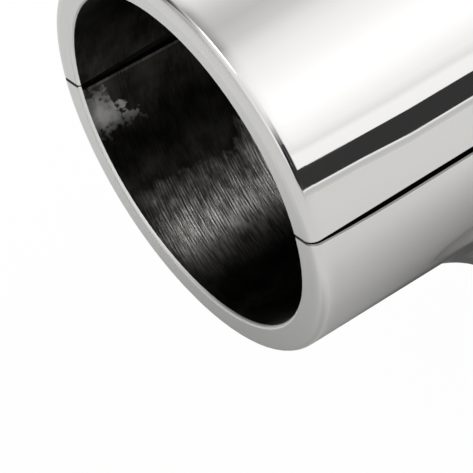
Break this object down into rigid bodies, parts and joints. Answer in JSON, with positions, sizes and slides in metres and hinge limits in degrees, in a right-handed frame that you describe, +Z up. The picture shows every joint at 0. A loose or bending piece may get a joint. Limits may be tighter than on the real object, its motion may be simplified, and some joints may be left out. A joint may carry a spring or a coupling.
{
  "type": "tee tube fitting",
  "caption": "Split tee for rail tube: bolted half shells clamp round a through tube, and a swept stem with a blind socket takes a second tube at right angles.",
  "frame": {"origin": "where the run's axis meets the stem's axis", "axes": "+X along the run, +Z up from the stem to the cap, -Y the side with the set screw"},
  "size_m": [0.078, 0.05, 0.057],
  "materials": {
    "polished_casting": "mirror-polished cast stainless steel, bore left as machined",
    "screws": "plain stainless screws"
  },
  "bodies": {
    "root": {"tee_body": "polished_casting", "top_cap": "polished_casting", "clamp_screws": "screws", "set_screw": "screws"}
  },
  "joints": []
}
